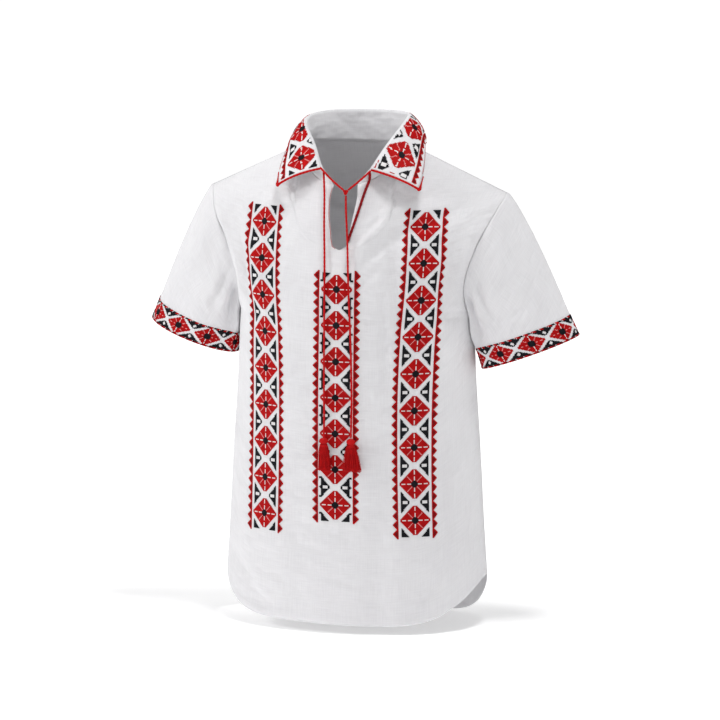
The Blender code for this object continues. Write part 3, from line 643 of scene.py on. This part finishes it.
def cuffCode(u, v):
    pitch = 50.0
    au, av = np.abs(u), np.abs((v % pitch) - pitch / 2)
    gap = pitch / 2 - av
    code = np.zeros(au.shape, int)
    triangle = (au > 4.2) & (au < 14.2) & (gap < (au - 3.7) * 1.55)
    code[triangle] = 2
    code[(gap + np.abs(au - 9.2)) < 3.0] = 3
    inDiamond = (av / 22.8 + au / 15.8 < 1) & (av < 21.6)
    code[inDiamond] = 1
    dash = (av < 0.7) & (((au > 5) & (au < 8.6)) | ((au > 9.8) & (au < 13.6)))
    code[inDiamond & (np.abs(au - av * 0.8) < 0.65) & (av > 5.0) & (av < 9.8)] = 5
    code[inDiamond & (au < 0.7) & (((av > 6.0) & (av < 9.6)) | ((av > 13.0) & (av < 16.5)))] = 5
    code[inDiamond & dash] = 3
    code[(au < 4.4) & (av < 5.0) & (au + av < 7.6)] = 2
    rope = au > 14.3
    beat = ((v + 1.1 * u) / 12.5) % 1.0
    code[rope] = 1
    code[rope & (beat < 0.45)] = 2
    code[rope & (beat < 0.45) & (u > 0)] = 4
    code[rope & (beat > 0.90)] = 3
    return code


def collarCode(run, inward, place):
    c, s = math.cos(math.radians(place["lean"])), math.sin(math.radians(place["lean"]))
    dr, di = (run - place["run"]) / place["scale"], (inward - place["inward"]) / place["scale"]
    v, u = dr * c + di * s, di * c - dr * s
    pitch = band["repeat"] * 1.5
    code = bandCode(np.where(np.abs(u) < 23.0, u, 0 * u + 60), v + pitch / 2, dots=False)
    code[(u < -23.0) | (inward < 17.0)] = 0
    inner = (u > 24.0) & (u < 28.5)
    code[inner] = 1
    tooth = 1 - np.abs(2 * ((run / 12.5) % 1.0) - 1)
    reach = 10.5 - inward
    strip = (inward < 14.6) & (reach < 5.4 * tooth)
    code[strip] = 1
    code[strip & (reach > -2.4) & (reach < 5.4 * tooth - 2.8)] = 4
    code[(inward < 3.0) | (run < 3.6)] = 0
    return code


def stitchPiece(name, code, surface, normals, wrap=False, flip=False):
    rows, columns = code.shape
    nodesDown, nodesAcross = surface.shape[:2]
    lift = np.full((nodesDown, nodesAcross), stitch["side"])
    lift[::2, ::2] = stitch["corner"]
    lift[1::2, 1::2] = stitch["centre"]
    bare = code == 0
    padded = np.pad(bare, 1, constant_values=True)
    if wrap:
        padded[:, 0], padded[:, -1] = padded[:, -2], padded[:, 1]
    edge = np.zeros((nodesDown, nodesAcross), bool)
    for i in (0, 1):
        for j in (0, 1):
            block = padded[i : i + rows + 1, j : j + columns + 1]
            edge[::2, ::2] |= block[:, : edge[::2, ::2].shape[1]]
    sideways = padded[1:-1, :-1] | padded[1:-1, 1:]
    edge[1::2, ::2] |= sideways[:, : edge[1::2, ::2].shape[1]]
    updown = padded[:-1, 1:-1] | padded[1:, 1:-1]
    edge[::2, 1::2] |= updown
    lift[edge] = stitch["tuck"]
    points = surface + normals * lift[..., None]
    r, c = np.nonzero(code)
    faces, indices = [], []
    for i in (0, 1):
        for j in (0, 1):
            a, b = 2 * r + i, 2 * c + j
            b2 = (b + 1) % nodesAcross
            low, high = a * nodesAcross, (a + 1) * nodesAcross
            quad = np.stack((low + b, low + b2, high + b2, high + b), -1)
            faces.append(quad[:, ::-1] if flip else quad)
            indices.append(code[r, c] - 1)
    faces, indices = np.concatenate(faces), np.concatenate(indices)
    used, faces = np.unique(faces, return_inverse=True)
    faces = faces.reshape(-1, 4)
    obj = addPiece(name, points.reshape(-1, 3)[used], faces, stitchMaterials, indices)
    print(name, len(faces) * 2, "triangles")
    return obj


def gridNormals(surface, wrap=False, flip=False):
    if wrap:
        across = np.roll(surface, -1, axis=1) - np.roll(surface, 1, axis=1)
    else:
        across = np.gradient(surface, axis=1)
    normal = unit(np.cross(across, np.gradient(surface, axis=0)))
    return -normal if flip else normal


def makeBand(name, side, top, bottom, repeats, node):
    tall = np.linspace(bottom, top, 240)
    middle = side * smoothTable(sideBandRows, tall)[..., 0]
    run = runLength(onFront(middle, tall))
    rows, half = repeats * band["repeat"] + 1, band["half"]
    z = np.interp(np.linspace(0, run[-1], 2 * rows + 1), run, tall)
    u = (np.arange(4 * half + 3) / 2 - half - 0.5) * stitch["cell"] * (band["spread"] if side else 1.0)
    x = side * smoothTable(sideBandRows, z)[..., 0]
    surface = onFront(x[:, None] + u[None, :], z[:, None])
    cu = (np.arange(2 * half + 1) - half) * 1.5
    cv = np.arange(rows) * 1.5
    code = bandCode(*np.meshgrid(cu, cv), dots=not side)
    atEnd = np.minimum(cv, cv[-1] - cv) < 2.9
    code[atEnd[:, None] & (np.abs(cu) < 25.0)[None, :]] = 0
    obj = stitchPiece(name, code, surface, gridNormals(surface))
    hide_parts(node)


def cuffShare(side, turn, up):
    last = np.linalg.norm(sleevePoint(side, turn, 0.8) - sleevePoint(side, turn, 1.0), axis=-1)
    return 1 - 0.2 * up / last


cuffChart = {"repeats": 8, "perRepeat": 38, "across": 25, "shift": -6.5}


def makeCuffStitch(side, node):
    across, count = cuffChart["across"], cuffChart["repeats"] * cuffChart["perRepeat"]
    dense = np.linspace(0, 1, 721)
    run = runLength(sleevePoint(side, dense, 0.95))
    turn = np.interp(np.arange(2 * count) / (2 * count) * run[-1], run, dense)[None, :]
    up = np.linspace(sleeve["cuffBand"], 0.0001, 2 * across + 1)[:, None]
    surface = sleevePoint(side, turn, cuffShare(side, turn, up))
    cu = (np.arange(across) - across / 2 + 0.5) * sleeve["cuffBand"] * 1000 / across
    cv = (np.arange(count) + 0.5) / cuffChart["perRepeat"] * 50.0 + cuffChart["shift"]
    code = cuffCode(*np.meshgrid(cu, cv, indexing="ij"))
    name = "cuffStitchLeft" if side > 0 else "cuffStitchRight"
    normals = gridNormals(surface, wrap=True, flip=side < 0)
    obj = stitchPiece(name, code, surface, normals, wrap=True, flip=side < 0)
    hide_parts(node)


collarChart = {
    1: {"run": 38.0, "inward": 42.0, "lean": -8.0, "scale": 1.06},
    -1: {"run": 26.8, "inward": 43.0, "lean": -3.0, "scale": 1.00},
}


def makeCollarStitch(side):
    dense = np.linspace(0, 0.5, 400) if side < 0 else np.linspace(1.0, 0.5, 400)
    run = runLength(collarPoint(dense, 0.75))
    cells, deep = int(run[-1] / stitch["cell"]), 52
    turn = np.interp(np.arange(2 * cells + 1) / 2 * stitch["cell"], run, dense)
    wide = np.linalg.norm(collarPoint(turn, 1.0) - collarPoint(turn, 0.0), axis=-1) * 1.02
    inward = np.arange(2 * deep + 1) / 2 * stitch["cell"]
    down = np.clip(1 - inward[:, None] / wide[None, :], 0, 1)
    surface = collarPoint(np.broadcast_to(turn, down.shape), down)
    ru = (np.arange(cells) + 0.5) * 1.5
    di = (np.arange(deep) + 0.5) * 1.5
    code = collarCode(*np.meshgrid(ru, di), collarChart[side])
    code[di[:, None] > (wide[1::2] * 1000 - 2.6)[None, :]] = 0
    name = "collarStitchLeft" if side > 0 else "collarStitchRight"
    return stitchPiece(name, code, surface, gridNormals(surface, flip=side < 0), flip=side < 0)


makeBand("bandStitchRight", -1, band["sideTop"], band["sideBottom"], 9, "band_right")
makeBand("bandStitchLeft", 1, band["sideTop"], band["sideBottom"], 9, "band_left")
makeBand("bandStitchCentre", 0, band["centreTop"], band["centreBottom"], 7, "band_centre")
makeCuffStitch(1, "cuff_band_left")
makeCuffStitch(-1, "cuff_band_right")
makeCollarStitch(1)
makeCollarStitch(-1)
print("embroidery made")


# Cords: two twisted plies round a route. Rows give x, height and how far off the cloth, in millimetres
tie = {
    "radius": 0.0016, "pitch": 0.0065, "groove": 0.20, "knotRadius": 0.0042,
    "knot": (0.0100, -0.1010, -0.0620), "step": 0.0006,
    "collarRight": (-0.0290, -0.0795, -0.0335), "collarCross": (-0.0345, -0.0790, -0.0296),
    "collarLeft": (0.0415, -0.0772, -0.0325),
}
tieRightRows = np.array((
    (-22.5, -70, 7), (-20.5, -110, 5.2), (-18.5, -170, 4.4), (-17, -250, 4.3), (-16, -340, 4.3),
    (-15.2, -395, 5), (-15, -419.5, 7.4),
)) / 1000
tieLeftRows = np.array((
    (11, -95, 7.5), (15, -135, 5.6), (18.5, -200, 4.4), (23, -290, 4.3), (25, -360, 4.3),
    (24.8, -395, 5), (24.8, -419.5, 7.4),
)) / 1000
trim = {"radius": 0.0021, "pitch": 0.0060, "lift": 0.0022, "top": ((0.0402, -0.0785, -0.0340),)}
trimRows = np.array(((37.5, -46), (33, -66), (27.5, -90), (20.5, -115), (14, -136))) / 1000
piping = {"radius": 0.0017, "pitch": 0.0052, "beyond": 0.0022, "tipSwell": 0.5, "tipReach": 0.006}


def sampleLine(line, run, at):
    return np.column_stack([np.interp(at, run, line[:, k]) for k in range(3)])


def evenRoute(points):
    points = np.asarray(points, float)
    rows = np.column_stack((np.linspace(0, 1, len(points)), points))
    dense = smoothTable(rows, np.linspace(0, 1, 1200))
    run = runLength(dense)
    count = max(int(run[-1] / tie["step"]), 4)
    return sampleLine(dense, run, np.linspace(0, run[-1], count + 1))


def carriedFrames(route):
    tangents = unit(np.gradient(route, axis=0))
    side = np.cross(tangents[0], (0.0, -1.0, 0.02))
    sides = []
    for tangent in tangents:
        side = unit(side - tangent * np.dot(side, tangent))
        sides.append(side)
    sides = np.array(sides)
    return sides, np.cross(tangents, sides)


def tubeMesh(route, radii, around, twist=0.0, groove=0.0):
    sides, ups = carriedFrames(route)
    run = runLength(route)
    angle = np.arange(around) * 2 * math.pi / around
    turn = angle[None, :] - (run * twist)[:, None]
    size = np.asarray(radii)[:, None] * (1 - groove + groove * np.abs(np.cos(turn)))
    ring = sides[:, None] * np.cos(angle)[None, :, None] + ups[:, None] * np.sin(angle)[None, :, None]
    points = (route[:, None] + ring * size[..., None]).reshape(-1, 3)
    faces = gridQuads(len(route), around, wrap=True, flip=True).tolist()
    faces.append(list(range(around)))
    faces.append(list(range(len(points) - 1, len(points) - around - 1, -1)))
    return points, faces


def roundEnds(route, radius):
    run = runLength(route)
    near = np.minimum(run, run[-1] - run) / radius
    return radius * np.sqrt(np.clip(1 - (1 - np.clip(near, 0.05, 1)) ** 2, 0.1, 1))


def makeCord(name, node, route, look, material, swell=1.0):
    radii = roundEnds(route, look["radius"]) * swell
    points, faces = tubeMesh(route, radii, 14, math.pi / look["pitch"], tie["groove"])
    obj = addPiece(name, points, faces, [material])
    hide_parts(node)
    return obj


def makeTie(name, rows, node, start):
    route = evenRoute(np.vstack((start, onFront(*rows.T))))
    return makeCord(name, node, route, tie, cordRed), route


def makeCross(name, start, sag, node):
    start, knot = np.array(start), np.array(tie["knot"])
    end = knot - unit(knot - start) * (tie["knotRadius"] + tie["step"])
    middle = (start + end) / 2 - (0.0, 0.0015, sag)
    route = evenRoute((start, middle, end))
    return makeCord(name, node, route, tie, cordRed), route


def makeKnot():
    t = np.linspace(0, 2 * math.pi, 181)
    loops = np.stack((np.sin(t) + 2 * np.sin(2 * t), -1.2 * np.sin(3 * t), np.cos(t) - 2 * np.cos(2 * t)), -1)
    route = loops / 3.0 * (tie["knotRadius"] - 0.0010) + np.array(tie["knot"])
    points, faces = tubeMesh(route, np.full(len(route), 0.0013), 12, math.pi / tie["pitch"], tie["groove"])
    obj = addPiece("tieKnot", points, faces, [cordRed])
    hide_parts("tie_knot")
    return obj


def makePiping(name, sign, node):
    start = 0.0 if sign > 0 else 1.0
    downs = 0.01 + 0.97 * np.arange(15) / 14
    edge = collarPoint(start, downs)
    out = edge - collarPoint(start + sign * 0.016, downs)
    route = list(edge + unit(out) * piping["beyond"])
    tip = collarPoint(start, 1.0)
    out = tip - collarPoint(start + sign * 0.05, 0.8)
    route.append(tip + unit(out) * piping["beyond"] * 1.25)
    turns = start + sign * (0.008 + 0.018 * np.arange(5))
    edge = collarPoint(turns, 1.0)
    out = edge - collarPoint(turns, 0.95)
    route.extend(edge + unit(out) * piping["beyond"])
    route = evenRoute(route)
    run = runLength(route)
    fromTip = run - run[np.argmin(np.linalg.norm(route - tip, axis=1))]
    swell = 1 + piping["tipSwell"] * np.exp(-((fromTip / piping["tipReach"]) ** 2))
    swell = swell * np.where(fromTip > 0, 1 - 0.45 * np.clip(fromTip / 0.016, 0, 1), 1.0)
    makeCord(name, node, route, piping, cordRed, swell)


def makeTrim():
    low = onFront(*trimRows.T, trim["lift"])
    makeCord("slitTrim", "slit_trim", evenRoute(np.vstack((trim["top"], low))), trim, cordDark)


# Tassels: a wrapped head and loose strands that spread below it
tassel = {
    "lift": 0.0074, "half": 0.0072, "depth": 0.0048, "length": 0.050, "headLength": 0.0130,
    "around": 36, "rings": 40, "ribs": 12, "ribDepth": 0.05, "wrapPitch": 0.0009, "wrapDepth": 0.045,
    "wrapFrom": 0.0072, "wrapTo": 0.0104, "strands": 170, "strandRadius": 0.00042, "strandTop": 0.0095,
    "strandOpen": 0.72, "goldenAngle": 2.399963,
}
tasselSpots = {  # x, top, how far the strands flare, sideways lean
    "tassel_right": (-0.0150, -0.4200, 1.35, 0.0010),
    "tassel_left": (0.0248, -0.4200, 1.95, 0.0020),
}
# Down the head in millimetres, share of the half width
headRows = np.array((
    (0, 0.18), (0.7, 0.42), (2.2, 0.74), (4.2, 0.88), (6.4, 0.86), (7.8, 0.74), (8.6, 0.66), (9.8, 0.68),
    (11, 0.80), (13, 0.84),
)) / (1000, 1)


def tasselHead(crown):
    down = np.linspace(0, tassel["headLength"], tassel["rings"])
    wrapped = (down > tassel["wrapFrom"]) & (down < tassel["wrapTo"])
    wraps = 1 + tassel["wrapDepth"] * np.cos(2 * math.pi * down / tassel["wrapPitch"]) * wrapped
    angle = np.arange(tassel["around"]) * 2 * math.pi / tassel["around"]
    ribs = 1 + tassel["ribDepth"] * np.cos(tassel["ribs"] * angle)[None, :] * (wraps[:, None] == 1)
    size = (smoothTable(headRows, down)[:, 0] * wraps)[:, None] * ribs
    x, y = np.cos(angle) * size * tassel["half"], np.sin(angle) * size * tassel["depth"]
    head = np.stack((x, y, np.broadcast_to(-down[:, None], size.shape)), -1) + crown
    faces = gridQuads(*size.shape, wrap=True).tolist()
    faces.append(list(range(tassel["around"])))
    faces.append(list(range(size.size - 1, size.size - tassel["around"] - 1, -1)))
    return head.reshape(-1, 3), faces


def tasselStrand(i, crown, flare, lean):
    angle, share = i * tassel["goldenAngle"], np.linspace(0, 1, 8)
    reach = math.sqrt((i + 0.5) / tassel["strands"])
    end = tassel["length"] * (0.955 + 0.03 * math.sin(i * 1.7) + 0.015 * math.sin(i * 4.1))
    drop = tassel["strandTop"] + (end - tassel["strandTop"]) * share
    spread = tassel["strandOpen"] + (flare - tassel["strandOpen"]) * share**0.75
    bend = 0.0010 * math.sin(i * 2.3) * np.sin(math.pi * share) + 0.0006 * math.sin(i * 5.9) * share
    dx = math.cos(angle) * reach * tassel["half"] * spread + lean * share + bend
    dy = math.sin(angle) * reach * tassel["depth"] * np.minimum(spread, 1.0) + bend * 0.4
    route = crown + np.stack((dx, dy, -drop), -1)
    return tubeMesh(route, np.full(len(share), tassel["strandRadius"]), 5)


def makeTassel(name, node):
    x, top, flare, lean = tasselSpots[node]
    crown = onFront([x], [top], tassel["lift"])[0]
    head, faces = tasselHead(crown)
    points, count = [head], len(head)
    for i in range(tassel["strands"]):
        made, sides = tasselStrand(i, crown, flare, lean)
        points.append(made)
        faces.extend([[k + count for k in face] for face in sides])
        count += len(made)
    obj = addPiece(name, np.concatenate(points), faces, [cordRed])
    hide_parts(node)
    return obj


tasselRight, tasselLeft = makeTassel("tasselRight", "tassel_right"), makeTassel("tasselLeft", "tassel_left")
knotPiece = makeKnot()
lowKnot = np.array(tie["knot"]) + (0.0004, 0.0, -(tie["knotRadius"] + tie["step"]))
cordPlan = (
    (makeTie("tieRight", tieRightRows, "tie_right", tie["collarRight"]), "fitting", "hanging", [tasselRight]),
    (makeTie("tieLeft", tieLeftRows, "tie_left", lowKnot), "fitting", "hanging", [tasselLeft]),
    (makeCross("tieCrossRight", tie["collarCross"], 0.0012, "tie_cross_right"), "knot", "loose", [knotPiece]),
    (makeCross("tieCrossLeft", tie["collarLeft"], 0.0010, "tie_cross_left"), "object", "loose", []),
)
makePiping("pipingRight", 1, "piping_right")
makePiping("pipingLeft", -1, "piping_left")
makeTrim()
print("cords and tassels made")


# Topstitching: one small bead of thread per stitch
seam = {"stitch": 0.0024, "spacing": 0.0034, "radius": 0.00026, "lift": 0.00022}
overcast = {"stitch": 0.0020, "spacing": 0.0015, "radius": 0.0006, "lift": 0.00022}
beadFaces = np.array(((0, 2, 4), (2, 1, 4), (1, 3, 4), (3, 0, 4)))


def seamStitches(name, lines, look, material, across=False):
    points, faces, count = [], [], 0
    for line, normals in lines:
        run = runLength(line)
        at = np.arange(look["spacing"], run[-1] - look["spacing"], look["spacing"])
        centre, out = sampleLine(line, run, at), unit(sampleLine(normals, run, at))
        ahead = unit(sampleLine(line, run, at + 0.001) - centre)
        beside = np.cross(ahead, out)
        if across:
            ahead, beside = beside * 0.9 + ahead * 0.4, ahead
        centre = centre + out * look["lift"]
        reach, wide, high = ahead * look["stitch"] / 2, beside * look["radius"], out * look["radius"]
        corners = (centre + reach, centre - reach, centre + wide, centre - wide, centre + high)
        points.append(np.stack(corners, 1).reshape(-1, 3))
        faces.append((count + 5 * np.arange(len(at))[:, None, None] + beadFaces).reshape(-1, 3))
        count += 5 * len(at)
    obj = addPiece(name, np.concatenate(points), np.concatenate(faces), [material])


def surfaceLine(pointOf, a, b, way=1):
    a, b = np.broadcast_arrays(a, b)
    return pointOf(a, b), surfaceNormal(pointOf, a, b) * way


def panelLine(side, shares, w):
    return surfaceLine(partial(panelPoint, side), shares, w, -side)


def hemLine(side, up):
    shares = np.linspace(-0.985, 0.985, 300)
    low = hemHeight(side, shares)
    return panelLine(side, shares, -(low + up - body["armpitZ"]) / (low - body["armpitZ"]))


around = np.linspace(0, 1, 400)
bodyLines = [hemLine(side, body["hemAllowance"]) for side in (-1, 1)]
for side in (-1, 1):
    bodyLines.append(panelLine(side, np.linspace(-0.96, -0.36, 160), 0.975))
    bodyLines.append(panelLine(side, np.linspace(0.36, 0.96, 160), 0.975))
    for half in (-1, 1):
        bodyLines.append(panelLine(side, half * 0.965, np.linspace(0.02, 0.96, 200)))
    aboveCuff = cuffShare(side, around, 0.0365)
    bodyLines.append(surfaceLine(partial(sleevePoint, side), around, aboveCuff, side))
seamStitches("topstitching", bodyLines, seam, linen)
collarLines = [surfaceLine(collarPoint, np.linspace(0.02, 0.98, 500), 0.06)]
seamStitches("collarStitching", collarLines, seam, linen)
slitHeights = np.linspace(body["slitBottom"] + 0.01, 0.985, 160)
slitEdge = panelPoint(-1, -0.003, slitHeights, -1)
edgeLines = [(slitEdge, np.tile(np.array((0.0, -0.8, 0.6)), (len(slitHeights), 1)))]
for start, end in ((0.085, 0.30), (0.915, 0.70)):
    edgeLines.append(surfaceLine(collarPoint, np.linspace(start, end, 160), 0.992))
seamStitches("edgeOvercast", edgeLines, overcast, stitchMaterials[0], across=True)
print("stitching made")


# Floor, light and backdrop. The floor carries a painted glow (emission), weaker near the garment and stronger
# away from it, so it fades to white far off and stays darker round the garment
studio = {
    "floorZ": -0.7135, "floorHalf": 14.0, "floorColour": (0.93, 0.93, 0.935), "paintedFloorGlow": (0.40, 0.70),
    "glowReach": (0.6, 2.2), "world": (1.0, 1.0, 1.0), "worldStrength": 0.38, "aim": (0.0, 0.0, -0.32),
}
lampRows = (  # name, place, size, power
    ("keyLamp", (-3.3, -1.7, 1.5), 0.9, 58.0),
    ("fillLamp", (2.8, -2.6, 1.0), 2.6, 0.5),
    ("topLamp", (0.7, -0.5, 3.0), 0.7, 66.0),
)


def floorMaterial():
    material = bpy.data.materials.new("floor")
    material.use_nodes = True
    nodes, links = material.node_tree.nodes, material.node_tree.links
    shader = nodes["Principled BSDF"]
    shader.inputs["Base Color"].default_value = (*studio["floorColour"], 1)
    shader.inputs["Roughness"].default_value = 0.9
    shader.inputs["Specular IOR Level"].default_value = 0.1
    shader.inputs["Emission Color"].default_value = (1, 1, 1, 1)
    where, away = nodes.new("ShaderNodeTexCoord"), nodes.new("ShaderNodeVectorMath")
    glow = nodes.new("ShaderNodeMapRange")
    away.operation = "LENGTH"
    links.new(where.outputs["Object"], away.inputs[0])
    links.new(away.outputs["Value"], glow.inputs["Value"])
    # painted light: emission strength on the floor rises with distance from the garment
    glowRange = studio["glowReach"] + studio["paintedFloorGlow"]
    for socket, value in zip(("From Min", "From Max", "To Min", "To Max"), glowRange):
        glow.inputs[socket].default_value = value
    links.new(glow.outputs["Result"], shader.inputs["Emission Strength"])
    return material


def makeStage():
    mesh, s = bpy.data.meshes.new("floor"), studio["floorHalf"]
    mesh.from_pydata([(-s, -s, 0), (s, -s, 0), (s, s, 0), (-s, s, 0)], [], [(0, 1, 2, 3)])
    mesh.materials.append(floorMaterial())
    floor = bpy.data.objects.new("floor", mesh)
    floor.location = (0, 0, studio["floorZ"])
    made = [floor]
    for name, place, size, power in lampRows:
        data = bpy.data.lights.new(name, "AREA")
        data.size = size
        data.energy = power
        lamp = bpy.data.objects.new(name, data)
        lamp.location = place
        x, y, z = np.array(place) - studio["aim"]
        lamp.rotation_euler = (math.atan2(math.hypot(x, y), z), 0.0, math.atan2(x, -y))
        made.append(lamp)
    for obj in made:
        bpy.context.scene.collection.objects.link(obj)
    world = bpy.data.worlds.new("studio")
    bpy.context.scene.world = world
    world.use_nodes = True
    background = world.node_tree.nodes["Background"]
    background.inputs["Color"].default_value = (*studio["world"], 1)
    background.inputs["Strength"].default_value = studio["worldStrength"]


makeStage()
bpy.context.scene.view_settings.view_transform = "Standard"
print("stage made")
